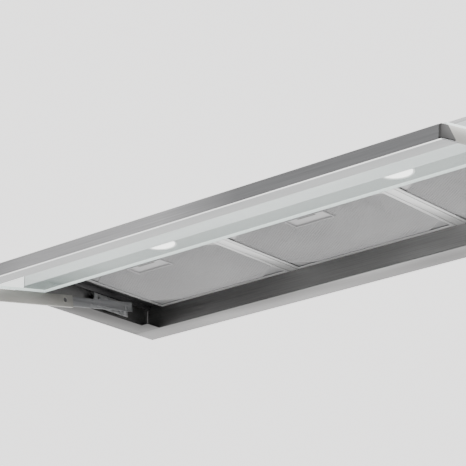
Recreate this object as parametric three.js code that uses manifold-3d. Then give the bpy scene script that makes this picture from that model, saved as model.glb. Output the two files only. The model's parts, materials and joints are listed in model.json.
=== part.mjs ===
// Built-in cooker hood with a slide-out glass visor. Millimetres, +Z up, front towards -Y, +X right.
// The origin is the middle of the rear flange's seat face, which rests against the cabinet.

import * as THREE from 'three';
import { mergeVertices } from 'three/addons/utils/BufferGeometryUtils.js';
import Module from 'manifold-3d';

const wasm = await Module();
wasm.setup();

// Fits
const seatGap = 0.3;            // between pieces that touch
const slideGap = 0.8;           // between pieces that slide past each other
const pinClearance = 0.15;      // round a pin, on the radius
const overcut = 1;              // how far a cutting solid runs past the face that it cuts

// Roundness: sides of small pins, of buttons and lamps, and of wheels
const pinSides = 24;
const discSides = 32;
const wheelSides = 40;
const nutSides = 6;

// Flange frame
const hoodWidth = 898;
const rearStrip = 38;           // rear edge to the back wall's outer face
const sideStrip = 25;           // side edge to the side plate's outer face
const flangeLip = 13;           // side flange inside the side plate
const tabWidth = 12;
const tabLength = 25;
const flangeSheet = 1.2;
const seatStep = 0.2;           // the flange is this much lower under the walls than at its seat
const stepMargin = 0.1;         // the wall's outer face to the step

// Folded body
const bodyDepth = 255;          // back wall's outer face to the front wall's outer face
const bodySheet = 1.2;
const frontDrop = 4.5;          // lower edge of the front wall above the seat
const frontHeight = 44;
const bodyHeight = 89;
const slopeRun = 77;
const flangeLead = 6;           // side flanges ahead of the front wall
const wallFoot = 0.1;           // lower edge of the side and back walls above the seat

// Filters
const filterLevel = 29.8;       // underside above the seat
const filterLength = 175;
const filterHeight = 8;
const filterSheet = 1.2;
const filterRim = 5;
const filterPlay = 1;           // round each filter
const middleFilterWidth = 267;
const dividerWidth = 13;
const dividerRise = 1;          // above the filters
const sideLedgeWidth = 27;
const ledgeRim = 4;
const ledgeRise = 6.5;
const meshThickness = 5;
const ledgeReach = 7;
const lampBarPlay = 3;          // lamp bar to the filters' front edge

// Filter handle and latch
const handleWidth = 64;
const handleLength = 27;
const handleWall = 1.5;
const handleInset = 17;         // filter's front edge to the handle
const handleOffset = 144;       // handle to the divider's middle, on the outer filters
const latchWidth = 30;
const latchLength = 7;
const latchHeight = 4;

// Lamp bar
const lampLevel = 22.3;
const lampBarUpstand = 12;
const lampX = 195;
const lampInset = 30;           // front wall's outer face to the lamp's middle
const lampRadius = 24;
const lensFlatRadius = 19.2;    // the flat face inside the lens's bevel
const lampProud = 1.5;
const lensThickness = 5;
const lampCanHeight = 18;
const canWall = 1.2;

// Controls
const panelX = 335;
const panelWidth = 74;
const panelLength = 24;
const panelProud = 1;
const panelThickness = 5;
const panelLip = 2;
const buttonRadius = 7;
const buttonSpacing = 34;
const buttonHeight = 8;
const buttonProud = 1.6;

// Visor: its rails turn on bolts and run down towards the front
const pivotInset = 71.5;        // back wall's outer face to the pivot
const pivotLevel = 12.5;
const visorSlope = 10.2;        // degrees
const visorTravel = 166;
const channelHeight = 17.3;
const channelWidth = 4;
const channelSheet = 0.9;
const channelLip = 1.8;         // turned in along the channel's open side
const channelRise = 2.15;       // pivot up to the channel's middle
const channelRear = 112.8;      // pivot to the rear end of the channel, visor pulled out
const channelInset = 9;         // side flange's lip to the channel's outer side
const channelBox = 6;           // the channel's closed front part starts this far ahead of the rail
const railTail = 12;
const railSheet = 1.2;
const railPlay = 0.5;           // each side of the rail in its channel
const boltRadius = 3;
const boltTail = 3;             // past the bracket
const washerRadius = 5.5;
const washerThickness = 1.2;
const bracketSheet = 1.5;
const bracketLength = 72;
const bracketBehindPivot = 16;
const bracketDrop = 8;          // below the pivot
const bracketRise = 13;

// Visor front and pane
const visorPlay = 1;            // side flange's lip to the visor's ends
const visorReach = 383.5;       // pivot to the fascia's lower front edge
const fasciaDepth = 34.5;
const fasciaFoot = 30.8;        // lower front edge to the foot of the fascia's sloping back
const fasciaTop = 13.5;
const fasciaLean = 5.5;
const fasciaAbove = 6.8;        // above and below the pivot's level
const fasciaBelow = 11.5;
const fasciaPlate = 1.2;        // underside plate, which runs on below the end caps
const shelfDepth = 6;           // shelf under the pane's front edge
const capThickness = 3;
const capLift = 0.8;            // underside plate to the end cap
const glassThickness = 4;
const glassOverhang = 54;       // channel's rear end ahead to the pane's rear edge
const glassSetback = 15;        // the fascia's top to the pane's front edge
const glassLap = 1;             // how far the pane lies on the channel

// Blower under its box
const boxHalfWidth = 190;
const boxHeight = 28;
const boxSlopeRun = 62;
const boxRearInset = 7;
const boxLead = 2;
const boxFlange = 10;
const boxSkirt = 2.4;           // upright strip along the box's front foot
const scrollWidth = 160;
const scrollSheet = 1.2;
const scrollGrowth = 7;         // the scroll's radius grows this much round the impeller
const scrollStart = -0.12;      // half turns from the rear, going down and round to the tongue
const scrollEnd = -1.36;
const scrollSteps = 18;
const impellerRadius = 27;
const impellerWidth = 140;
const impellerGap = 3;
const impellerBlades = 24;
const bladeDepth = 6;
const bladeThickness = 1;
const bladeTilt = 26;           // degrees
const bladeInset = 3.6;         // impeller's rim to the blade's middle
const impellerRing = 2;
const blowerInset = 59;         // back wall's outer face to the impeller's axis
const blowerLevel = 79;
const inletRadius = 22;
const mouthInset = 4;           // collar's outside to the scroll's mouth
const motorRadius = 24;
const motorLength = 48;
const motorNeckRadius = 13;
const motorNeckLength = 10;
const shaftRadius = 4;
const bracketWidth = 60;
const bracketPlate = 2;
const bracketFoot = 24;

// Duct collar and its flap
const collarWidth = 240;
const collarLength = 72;
const collarWall = 2;
const collarHeight = 15;
const collarInset = 52;         // back wall's outer face to the collar's middle
const collarFlange = 6;
const collarFoot = 1.5;
const flapThickness = 1.5;
const flapLevel = 6;            // above the box's top
const flapAxleRadius = 1.5;
const flapSleeve = 3;
const flapPlay = 1;

// Electrical
const terminalSize = [70, 46, 28];
const terminalX = 250;
const terminalInset = 66;       // back wall's outer face to the box's rear face
const glandRadius = 8;
const glandLength = 16;
const glandNoseRadius = 6;
const glandBoreRadius = 3.2;
const glandBoreFloor = 8;       // the bore stops this far ahead of the terminal box
const capacitorRadius = 14;
const capacitorLength = 60;
const capacitorX = -250;
const capacitorInset = 90;
const switchWidth = 9;
const switchLength = 10;
const switchHeight = 16;
const plungerRadius = 1.8;
const plungerBore = 6;

// Derived places
const rearEdgeY = rearStrip / 2;
const backY = -rearStrip / 2;
const frontY = backY - bodyDepth;
const innerBackY = backY - bodySheet;
const innerFrontY = frontY + bodySheet;
const sideX = hoodWidth / 2 - sideStrip;
const innerSideX = sideX - bodySheet;
const lipX = sideX - flangeLip;
const filterRearY = innerBackY - filterPlay;
const filterFrontY = filterRearY - filterLength;
const lampBarRearY = filterFrontY - lampBarPlay;
const dividerX = middleFilterWidth / 2 + filterPlay + dividerWidth / 2;
const outerFilterInnerX = dividerX + dividerWidth / 2 + filterPlay;
const ledgeInnerX = innerSideX - seatGap - sideLedgeWidth;
const outerFilterOuterX = ledgeInnerX - filterSheet - filterPlay;
const slope = THREE.MathUtils.degToRad(visorSlope);
const pivotY = backY - pivotInset;
const channelOuterX = lipX - channelInset;
const channelInnerX = channelOuterX - channelWidth;
const railX = channelInnerX + channelSheet + railPlay;
const capOuterX = lipX - visorPlay;
const capInnerX = capOuterX - capThickness;
const bracketX = capOuterX + seatGap + washerThickness + seatGap;
const fasciaFront = -visorReach;
const fasciaRear = fasciaFront + fasciaDepth;
const fasciaTopRear = fasciaFront + fasciaLean + fasciaTop;
const channelTop = channelRise + channelHeight / 2;
const channelBottom = channelRise - channelHeight / 2;
const slopeTopY = frontY + slopeRun;
const boxRearY = backY - boxRearInset;
const boxFrontY = slopeTopY + boxLead;
const boxTopZ = bodyHeight + boxHeight;
const blowerY = backY - blowerInset;
const collarY = backY - collarInset;
const flapZ = boxTopZ + flapLevel;

// ---- Helpers ----

const model = new THREE.Group();

function toSolid(geometry) {
  const bare = geometry.index ? geometry.clone() : geometry;
  bare.deleteAttribute('normal');
  bare.deleteAttribute('uv');
  const merged = mergeVertices(bare, 1e-4);
  return new wasm.Manifold(new wasm.Mesh({
    numProp: 3,
    vertProperties: new Float32Array(merged.attributes.position.array),
    triVerts: new Uint32Array(merged.index.array),
  }));
}

function toGeometry(solid) {
  const mesh = solid.getMesh();
  const geometry = new THREE.BufferGeometry();
  geometry.setAttribute('position', new THREE.BufferAttribute(mesh.vertProperties, 3));
  geometry.setIndex(new THREE.BufferAttribute(mesh.triVerts, 1));
  geometry.computeVertexNormals();
  return geometry;
}

function cut(geometry, ...tools) {
  let solid = toSolid(geometry);
  for (const tool of tools) solid = solid.subtract(toSolid(tool));
  return toGeometry(solid);
}

function join(geometry, ...others) {
  let solid = toSolid(geometry);
  for (const other of others) solid = solid.add(toSolid(other));
  return toGeometry(solid);
}

function block([x0, x1], [y0, y1], [z0, z1]) {
  const geometry = new THREE.BoxGeometry(x1 - x0, y1 - y0, z1 - z0);
  return geometry.translate((x0 + x1) / 2, (y0 + y1) / 2, (z0 + z1) / 2);
}

function outlineShape(points) {
  return new THREE.Shape(points.map(([a, b]) => new THREE.Vector2(a, b)));
}

// A prism along X from an outline of [y, z] points.
function prismX(points, [x0, x1]) {
  const geometry = new THREE.ExtrudeGeometry(outlineShape(points), { depth: x1 - x0, bevelEnabled: false });
  geometry.applyMatrix4(new THREE.Matrix4().makeBasis(
    new THREE.Vector3(0, 1, 0), new THREE.Vector3(0, 0, 1), new THREE.Vector3(1, 0, 0)));
  return geometry.translate(x0, 0, 0);
}

// A prism along Y from an outline of [x, z] points.
function prismY(points, [y0, y1]) {
  const geometry = new THREE.ExtrudeGeometry(outlineShape(points), { depth: y1 - y0, bevelEnabled: false });
  geometry.applyMatrix4(new THREE.Matrix4().makeBasis(
    new THREE.Vector3(1, 0, 0), new THREE.Vector3(0, 0, 1), new THREE.Vector3(0, -1, 0)));
  return geometry.translate(0, y1, 0);
}

function prismZ(points, [z0, z1]) {
  const geometry = new THREE.ExtrudeGeometry(outlineShape(points), { depth: z1 - z0, bevelEnabled: false });
  return geometry.translate(0, 0, z0);
}

// The closed outline of a folded sheet: the path is its right-hand face, the sheet lies to the path's left.
function foldedOutline(path, thickness) {
  const points = path.map(([a, b]) => new THREE.Vector2(a, b));
  const normals = points.slice(1).map((point, i) => {
    const along = point.clone().sub(points[i]).normalize();
    return new THREE.Vector2(-along.y, along.x);
  });
  const inner = points.map((point, i) => {
    const before = normals[Math.max(i - 1, 0)];
    const after = normals[Math.min(i, normals.length - 1)];
    const mitre = before.clone().add(after);
    mitre.multiplyScalar(2 / mitre.lengthSq());
    return [point.x + mitre.x * thickness, point.y + mitre.y * thickness];
  });
  return [...path, ...inner.reverse()];
}

function cylinderX(radius, [x0, x1], y, z, sides = pinSides) {
  const geometry = new THREE.CylinderGeometry(radius, radius, x1 - x0, sides);
  return geometry.rotateZ(Math.PI / 2).translate((x0 + x1) / 2, y, z);
}

function cylinderZ(radius, x, y, [z0, z1], sides = discSides) {
  const geometry = new THREE.CylinderGeometry(radius, radius, z1 - z0, sides);
  return geometry.rotateX(Math.PI / 2).translate(x, y, (z0 + z1) / 2);
}

function cylinderY(radius, x, [y0, y1], z, sides = pinSides) {
  const geometry = new THREE.CylinderGeometry(radius, radius, y1 - y0, sides);
  return geometry.translate(x, (y0 + y1) / 2, z);
}

function mirrored(geometry) {
  const copy = geometry.index ? geometry.clone() : mergeVertices(geometry);
  copy.scale(-1, 1, 1);
  const index = copy.index.array;
  for (let i = 0; i < index.length; i += 3) [index[i], index[i + 1]] = [index[i + 1], index[i]];
  copy.computeVertexNormals();
  return copy;
}

function finish(color, roughness, metalness) {
  return { color, roughness, metalness };
}

const brushedSteel = finish(0xa6a8a8, 0.34, 1);
const darkPaint = finish(0x4a4c4e, 0.55, 0.2);
const galvanised = finish(0xb3b6b8, 0.5, 0.9);
const filterAluminium = finish(0xc9cbca, 0.4, 0.9);
const filterMeshMetal = finish(0x9c9ea0, 0.55, 0.8);
const railAluminium = finish(0xb5b4aa, 0.42, 0.7);
const railSteel = finish(0x77797b, 0.4, 0.9);
const capPlastic = finish(0x55575a, 0.6, 0);
const blackPlastic = finish(0x242527, 0.55, 0);
const greyPlastic = finish(0x8c8f91, 0.5, 0);
const lensPlastic = finish(0xf4f5f2, 0.3, 0);
const paneGlass = finish(0xcfe0da, 0.05, 0);

function add(name, geometry, look, parent = model) {
  const mesh = new THREE.Mesh(geometry, new THREE.MeshStandardMaterial(look));
  mesh.name = name;
  parent.add(mesh);
  return mesh;
}

// A right-hand piece and its mirror image.
function addPair(name, geometry, look, parent = model) {
  add(`${name}_right`, geometry, look, parent);
  add(`${name}_left`, mirrored(geometry), look, parent);
}

// ---- Flange frame ----

function addFlanges() {
  const levels = [-flangeSheet, 0];
  const stepLevels = [-seatStep, overcut];
  const back = block([-hoodWidth / 2, hoodWidth / 2], [innerBackY, rearEdgeY], levels);
  const backStep = block([-hoodWidth, hoodWidth], [innerBackY - overcut, backY + stepMargin], stepLevels);
  add('flange_back', cut(back, backStep), brushedSteel);
  const rear = innerBackY - seatGap;
  const front = frontY - flangeLead;
  const outline = [
    [lipX, front],
    [hoodWidth / 2, front],
    [hoodWidth / 2, rear],
    [lipX - tabWidth, rear],
    [lipX - tabWidth, rear - tabLength],
    [lipX, rear - tabLength],
  ];
  const sideStep = block([0, sideX + stepMargin], [front - overcut, rear + overcut], stepLevels);
  addPair('flange', cut(prismZ(outline, levels), sideStep), brushedSteel);
}

// ---- Folded body ----

function addBody() {
  const path = [
    [backY, wallFoot],
    [backY, bodyHeight],
    [slopeTopY, bodyHeight],
    [frontY, frontHeight],
    [frontY, frontDrop],
  ];
  const shell = prismX(foldedOutline(path, bodySheet), [-(innerSideX - seatGap), innerSideX - seatGap]);
  const halfOpening = boxHalfWidth - boxFlange;
  const opening = block([-halfOpening, halfOpening], [boxFrontY + boxFlange, boxRearY - boxFlange],
    [bodyHeight - bodySheet - overcut, bodyHeight + overcut]);
  add('body_shell', cut(shell, opening), galvanised);

  const plate = [
    [backY, wallFoot],
    [backY, bodyHeight],
    [slopeTopY, bodyHeight],
    [frontY, frontHeight],
    [frontY, wallFoot],
  ];
  addPair('side_plate', prismX(plate, [innerSideX, sideX]), galvanised);
}

// ---- Lamp bar, lamps and controls ----

const barInnerZ = lampLevel + bodySheet;

function addLampBar() {
  const front = innerFrontY + seatGap;
  const section = foldedOutline([
    [front, lampLevel + lampBarUpstand],
    [front, lampLevel],
    [lampBarRearY, lampLevel],
    [lampBarRearY, lampLevel + lampBarUpstand],
  ], bodySheet);
  const halfLength = innerSideX - seatGap;
  const bar = prismX(section, [-halfLength, halfLength]);
  const through = [lampLevel - overcut, barInnerZ + overcut];
  const lampY = frontY + lampInset;
  const holes = [-lampX, lampX].map((x) => cylinderZ(lampRadius + seatGap, x, lampY, through));
  const holeX = panelWidth / 2 - panelLip;
  const holeY = panelLength / 2 - panelLip;
  const panelHole = block([panelX - holeX, panelX + holeX], [lampY - holeY, lampY + holeY], through);
  add('lamp_bar', cut(bar, ...holes, panelHole), brushedSteel);

  const lensBottom = lampLevel - lampProud;
  const lensTop = lensBottom + lensThickness;
  const lensProfile = [
    [0, lensBottom],
    [lensFlatRadius, lensBottom],
    [lampRadius, lensBottom + lampProud],
    [lampRadius, lensTop],
    [0, lensTop],
  ].map(([r, z]) => new THREE.Vector2(r, z));
  const canBottom = barInnerZ + seatGap;
  const canRadius = lampRadius + 2 * canWall + seatGap;
  const canTop = lensTop + lampCanHeight;
  const canProfile = [
    [lampRadius + canWall, canBottom],
    [canRadius, canBottom],
    [canRadius, canTop],
    [0, canTop],
    [0, canTop - canWall],
    [lampRadius + canWall, canTop - canWall],
    [lampRadius + canWall, canBottom],
  ].map(([r, z]) => new THREE.Vector2(r, z));
  const lens = new THREE.LatheGeometry(lensProfile, discSides).rotateX(Math.PI / 2);
  const can = new THREE.LatheGeometry(canProfile, discSides).rotateX(Math.PI / 2);
  addPair('lamp_lens', cut(lens).translate(lampX, lampY, 0), lensPlastic);
  addPair('lamp_housing', cut(can).translate(lampX, lampY, 0), galvanised);
}

function addControls() {
  const y = frontY + lampInset;
  const neckX = panelWidth / 2 - panelLip - seatGap;
  const neckY = panelLength / 2 - panelLip - seatGap;
  const neck = block([panelX - neckX, panelX + neckX], [y - neckY, y + neckY],
    [lampLevel - panelProud, lampLevel + panelThickness]);
  const halfWidth = panelWidth / 2;
  const halfLength = panelLength / 2;
  const plateTop = lampLevel - seatGap;
  const plate = block([panelX - halfWidth, panelX + halfWidth], [y - halfLength, y + halfLength],
    [plateTop - panelProud, plateTop]);
  const through = [lampLevel - panelThickness, lampLevel + panelThickness + overcut];
  const places = [panelX - buttonSpacing / 2, panelX + buttonSpacing / 2];
  const holes = places.map((x) => cylinderZ(buttonRadius + seatGap, x, y, through));
  add('control_panel', cut(join(plate, neck), ...holes), blackPlastic);
  ['light_button', 'fan_button'].forEach((name, i) => {
    const bottom = plateTop - panelProud - buttonProud;
    add(name, cylinderZ(buttonRadius, places[i], y, [bottom, bottom + buttonHeight]), greyPlastic);
  });
}

// ---- Filters, dividers and ledges ----

function filterFrame([x0, x1]) {
  const y = [filterFrontY, filterRearY];
  const top = filterLevel + filterHeight;
  const outer = block([x0, x1], y, [filterLevel, top]);
  const cavity = block([x0 + filterSheet, x1 - filterSheet], [y[0] + filterSheet, y[1] - filterSheet],
    [filterLevel + filterSheet, top + overcut]);
  const window = block([x0 + filterRim, x1 - filterRim], [y[0] + filterRim, y[1] - filterRim],
    [filterLevel - overcut, top]);
  return cut(outer, cavity, window);
}

function handlePocket(x) {
  const halfWidth = handleWidth / 2;
  const front = filterFrontY + handleInset;
  const top = filterLevel + filterHeight;
  const outer = block([x - halfWidth, x + halfWidth], [front, front + handleLength], [filterLevel, top]);
  const cavity = block([x - halfWidth + handleWall, x + halfWidth - handleWall],
    [front + handleWall, front + handleLength - handleWall], [filterLevel - overcut, top - handleWall]);
  return { outer, pocket: cut(outer, cavity) };
}

function addFilter(place, [x0, x1], handleX) {
  add(`filter_frame_${place}`, filterFrame([x0, x1]), filterAluminium);
  const inset = filterSheet + seatGap;
  const bottom = filterLevel + filterSheet + seatGap;
  const sheet = block([x0 + inset, x1 - inset], [filterFrontY + inset, filterRearY - inset],
    [bottom, bottom + meshThickness]);
  const { outer, pocket } = handlePocket(handleX);
  const centreY = filterFrontY + handleInset + handleLength / 2;
  const clearance = outer.clone().translate(-handleX, -centreY, 0)
    .scale(1 + 2 * seatGap / handleWidth, 1 + 2 * seatGap / handleLength, 1)
    .translate(handleX, centreY, 0);
  add(`filter_mesh_${place}`, cut(sheet, clearance), filterMeshMetal);
  add(`filter_handle_${place}`, pocket, greyPlastic);
  const latchFront = filterFrontY + handleInset + handleWall + seatGap;
  const latchTop = filterLevel + filterHeight - handleWall - seatGap;
  add(`filter_latch_${place}`, block([handleX - latchWidth / 2, handleX + latchWidth / 2],
    [latchFront, latchFront + latchLength], [latchTop - latchHeight, latchTop]), blackPlastic);
}

function addFilters() {
  addFilter('centre', [-middleFilterWidth / 2, middleFilterWidth / 2], 0);
  addFilter('left', [-outerFilterOuterX, -outerFilterInnerX], -(dividerX + handleOffset));
  addFilter('right', [outerFilterInnerX, outerFilterOuterX], dividerX + handleOffset);

  const front = lampBarRearY + seatGap;
  const rear = innerBackY - seatGap;
  const half = dividerWidth / 2;
  const dividerTop = filterLevel + filterHeight + dividerRise;
  const bar = foldedOutline([
    [-half, dividerTop],
    [-half, filterLevel],
    [half, filterLevel],
    [half, dividerTop],
  ], filterSheet);
  addPair('divider', prismY(bar, [front, rear]).translate(dividerX, 0, 0), filterAluminium);

  const wall = innerSideX - seatGap;
  const ledge = foldedOutline([
    [ledgeInnerX, filterLevel],
    [ledgeInnerX, filterLevel + ledgeRise],
    [wall - ledgeRim, filterLevel + ledgeRise],
    [wall - ledgeRim, filterLevel],
    [wall, filterLevel],
  ], filterSheet);
  addPair('side_ledge', prismY(ledge, [front, rear]), filterAluminium);

  const ledgeZ = filterLevel + filterHeight + seatGap;
  const length = dividerX - dividerWidth / 2 - seatGap;
  const hook = foldedOutline([
    [rear - ledgeReach, ledgeZ],
    [rear, ledgeZ],
    [rear, ledgeZ + ledgeReach],
  ], filterSheet);
  add('rear_ledge', prismX(hook, [-length, length]), galvanised);
}

// ---- Visor: rails, channels, pane and fascia ----

const visorAxes = new THREE.Group();
visorAxes.position.set(0, pivotY, pivotLevel);
visorAxes.rotation.x = slope;
model.add(visorAxes);

// In the visor's own axes the pivot is the origin and -Y runs down the rails.
function addRails() {
  const railFront = fasciaRear + visorTravel + slideGap;
  const railHalf = channelHeight / 2 - channelSheet - slideGap;
  const railLevels = [channelRise - railHalf, channelRise + railHalf];
  const rail = block([railX, railX + railSheet], [railFront, railTail], railLevels);
  const hole = cylinderX(boltRadius + pinClearance, [railX - overcut, railX + railSheet + overcut], 0, 0);
  addPair('inner_rail', cut(rail, hole), railSteel, visorAxes);

  const section = foldedOutline([
    [channelOuterX, channelTop - channelSheet - channelLip],
    [channelOuterX, channelTop],
    [channelInnerX, channelTop],
    [channelInnerX, channelBottom],
    [channelOuterX, channelBottom],
    [channelOuterX, channelBottom + channelSheet + channelLip],
  ], channelSheet);
  const front = fasciaTopRear + 2 * seatGap;
  const run = fasciaFoot - fasciaLean - fasciaTop;
  const slant = run / (fasciaAbove + fasciaBelow);
  const across = [channelInnerX - overcut, channelOuterX + overcut];
  const behindFascia = prismX([
    [front - fasciaDepth, fasciaAbove],
    [front, fasciaAbove],
    [front + slant * (fasciaAbove - channelBottom + overcut), channelBottom - overcut],
    [front - fasciaDepth, channelBottom - overcut],
  ], across);
  const open = prismY(section, [front, -channelRear]);
  const side = block([channelOuterX - channelSheet, channelOuterX], [front, railFront - channelBox],
    [channelBottom, channelTop]);
  addPair('outer_channel', cut(join(open, side), behindFascia), railAluminium, visorAxes);
}

function addPane() {
  const half = channelInnerX + glassLap;
  const bottom = channelTop + seatGap;
  const rear = -channelRear - glassOverhang;
  const pane = block([-half, half], [fasciaTopRear + glassSetback, rear], [bottom, bottom + glassThickness]);
  add('glass_pane', pane, paneGlass, visorAxes);
}

// The bar's section from its foot up, shared by the fascia and its end caps.
function fasciaSection(foot) {
  return [
    [fasciaFront, foot],
    [fasciaFront + fasciaFoot, foot],
    [fasciaTopRear, fasciaAbove],
    [fasciaFront + fasciaLean, fasciaAbove],
  ];
}

function addFascia() {
  const half = capInnerX - seatGap;
  const plateTop = -fasciaBelow + fasciaPlate;
  const bar = prismX(fasciaSection(-fasciaBelow), [-half, half]);
  const plate = block([-capOuterX, capOuterX], [fasciaFront, fasciaRear], [-fasciaBelow, plateTop]);
  const shelfHalf = channelInnerX - seatGap;
  const shelf = prismX([
    [fasciaRear, -fasciaBelow],
    [fasciaRear, channelTop],
    [fasciaRear - shelfDepth, channelTop],
    [fasciaTopRear, fasciaAbove],
    [fasciaTopRear, -fasciaBelow],
  ], [-shelfHalf, shelfHalf]);
  add('fascia', join(bar, plate, shelf), brushedSteel, visorAxes);
  const cap = prismX(fasciaSection(plateTop + capLift), [capInnerX, capOuterX]);
  addPair('end_cap', cap, capPlastic, visorAxes);
}

function addBrackets() {
  const plateTop = pivotLevel + bracketRise;
  const section = foldedOutline([
    [innerSideX - seatGap, plateTop],
    [bracketX, plateTop],
    [bracketX, pivotLevel - bracketDrop],
  ], bracketSheet);
  const rear = pivotY + bracketBehindPivot;
  const across = [bracketX - overcut, bracketX + bracketSheet + overcut];
  const hole = cylinderX(boltRadius + seatGap, across, pivotY, pivotLevel);
  const plate = prismY(section, [rear - bracketLength, rear]);
  addPair('rail_bracket', cut(plate, hole), galvanised);

  const tip = railX + seatGap;
  const end = bracketX + bracketSheet + boltTail;
  const profile = [
    [0, tip],
    [boltRadius, tip],
    [boltRadius, bracketX - seatGap - washerThickness],
    [washerRadius, bracketX - seatGap - washerThickness],
    [washerRadius, bracketX - seatGap],
    [boltRadius, bracketX - seatGap],
    [boltRadius, end],
    [0, end],
  ].map(([r, x]) => new THREE.Vector2(r, x));
  const bolt = new THREE.LatheGeometry(profile, pinSides).rotateZ(-Math.PI / 2);
  addPair('pivot_bolt', cut(bolt.translate(0, pivotY, pivotLevel)), railSteel);
}

// ---- Blower and its box ----

function addBlowerBox() {
  const bottom = bodyHeight + seatGap;
  const boxOutline = [
    [boxRearY, bottom],
    [boxRearY, boxTopZ],
    [boxFrontY + boxSlopeRun, boxTopZ],
    [boxFrontY, bottom + boxSkirt],
    [boxFrontY, bottom],
  ];
  const innerOutline = [
    [boxRearY - bodySheet, bottom - overcut],
    [boxRearY - bodySheet, boxTopZ - bodySheet],
    [boxFrontY + boxSlopeRun, boxTopZ - bodySheet],
    [boxFrontY + boxSkirt + bodySheet, bottom - overcut],
  ];
  const outer = prismX(boxOutline, [-boxHalfWidth, boxHalfWidth]);
  const hollow = prismX(innerOutline, [-(boxHalfWidth - bodySheet), boxHalfWidth - bodySheet]);
  const ductX = collarWidth / 2 - collarWall;
  const ductY = collarLength / 2 - collarWall;
  const duct = block([-ductX, ductX], [collarY - ductY, collarY + ductY],
    [boxTopZ - bodySheet - overcut, boxTopZ + overcut]);
  add('blower_box', cut(outer, hollow, duct), galvanised);
}

function scrollPath() {
  const start = Math.PI * scrollStart;
  const turn = Math.PI * (scrollEnd - scrollStart);
  const inner = impellerRadius + impellerGap + scrollSheet;
  const arc = Array.from({ length: scrollSteps + 1 }, (_, i) => {
    const angle = start + turn * i / scrollSteps;
    const radius = inner + scrollGrowth * (1 - i / scrollSteps);
    return [blowerY + radius * Math.cos(angle), blowerLevel + radius * Math.sin(angle)];
  });
  const mouthZ = boxTopZ - bodySheet - seatGap;
  const mouthHalf = collarLength / 2 - mouthInset;
  return [[collarY + mouthHalf, mouthZ], ...arc, [collarY - mouthHalf, mouthZ]];
}

function addScroll() {
  const path = scrollPath();
  const half = scrollWidth / 2;
  add('blower_scroll', prismX(foldedOutline(path, -scrollSheet), [-half, half]), galvanised);
  const side = prismX(path, [half + seatGap, half + seatGap + scrollSheet]);
  const inlet = cylinderX(inletRadius, [half, half + scrollSheet + overcut], blowerY, blowerLevel, discSides);
  addPair('scroll_side', cut(side, inlet), galvanised);
}

function addImpeller() {
  const half = impellerWidth / 2;
  const halfDepth = bladeDepth / 2;
  const halfBlade = bladeThickness / 2;
  const axis = [blowerY, blowerLevel];
  const ring = (x) => cut(cylinderX(impellerRadius, [x - impellerRing, x], ...axis, wheelSides),
    cylinderX(impellerRadius - bladeDepth, [x - impellerRing - overcut, x + overcut], ...axis, wheelSides));
  const disc = cylinderX(impellerRadius, [-impellerRing / 2, impellerRing / 2], ...axis, wheelSides);
  const blades = Array.from({ length: impellerBlades }, (_, i) => {
    const blade = block([-half, half], [-halfDepth, halfDepth], [-halfBlade, halfBlade]);
    const turn = 2 * Math.PI * i / impellerBlades;
    return blade.rotateX(THREE.MathUtils.degToRad(bladeTilt)).translate(0, impellerRadius - bladeInset, 0)
      .rotateX(turn).translate(0, ...axis);
  });
  const bore = cylinderX(shaftRadius + seatGap, [-half, half], ...axis);
  const wheel = join(disc, ring(-half + impellerRing), ring(half), ...blades);
  add('impeller', cut(wheel, bore), blackPlastic);
  const motorStart = scrollWidth / 2 + seatGap + scrollSheet + slideGap;
  add('fan_shaft', cylinderX(shaftRadius, [-half, motorStart - seatGap], ...axis), railSteel);

  const motorEnd = motorStart + motorLength;
  const neckEnd = motorStart + motorNeckLength;
  const body = cylinderX(motorRadius, [neckEnd, motorEnd], ...axis, discSides);
  const neck = cylinderX(motorNeckRadius, [motorStart, neckEnd + overcut], ...axis, discSides);
  add('fan_motor', join(body, neck), darkPaint);
  const top = boxTopZ - bodySheet - seatGap;
  const section = foldedOutline([
    [motorEnd + seatGap + bracketFoot, top],
    [motorEnd + seatGap, top],
    [motorEnd + seatGap, blowerLevel - motorRadius],
  ], bracketPlate);
  add('motor_bracket', prismY(section, [blowerY - bracketWidth / 2, blowerY + bracketWidth / 2]), galvanised);
}

// ---- Duct collar, flap and axle ----

function centredBlock(width, length, levels) {
  return block([-width / 2, width / 2], [collarY - length / 2, collarY + length / 2], levels);
}

const flapY = collarY + collarLength / 2 - collarWall - flapPlay - flapSleeve;

function addCollar() {
  const base = boxTopZ + seatGap;
  const foot = centredBlock(collarWidth + 2 * collarFlange, collarLength + 2 * collarFlange,
    [base, base + collarFoot]);
  const wall = centredBlock(collarWidth, collarLength, [base, base + collarHeight]);
  const duct = centredBlock(collarWidth - 2 * collarWall, collarLength - 2 * collarWall,
    [base - overcut, base + collarHeight + overcut]);
  add('duct_collar', cut(join(foot, wall), duct), blackPlastic);
  const half = collarWidth / 2 - collarWall - seatGap;
  add('flap_axle', cylinderX(flapAxleRadius, [-half, half], flapY, flapZ), railSteel);
}

function addFlap() {
  const half = collarWidth / 2 - collarWall - flapPlay;
  const front = collarY - collarLength / 2 + collarWall + flapPlay;
  const plate = block([-half, half], [front, flapY], [flapZ - flapThickness / 2, flapZ + flapThickness / 2]);
  const sleeve = cylinderX(flapSleeve, [-half, half], flapY, flapZ);
  const bore = cylinderX(flapAxleRadius + pinClearance, [-half - overcut, half + overcut], flapY, flapZ);
  add('damper_flap', cut(join(plate, sleeve), bore), greyPlastic);
}

// ---- Electrical pieces ----

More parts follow.
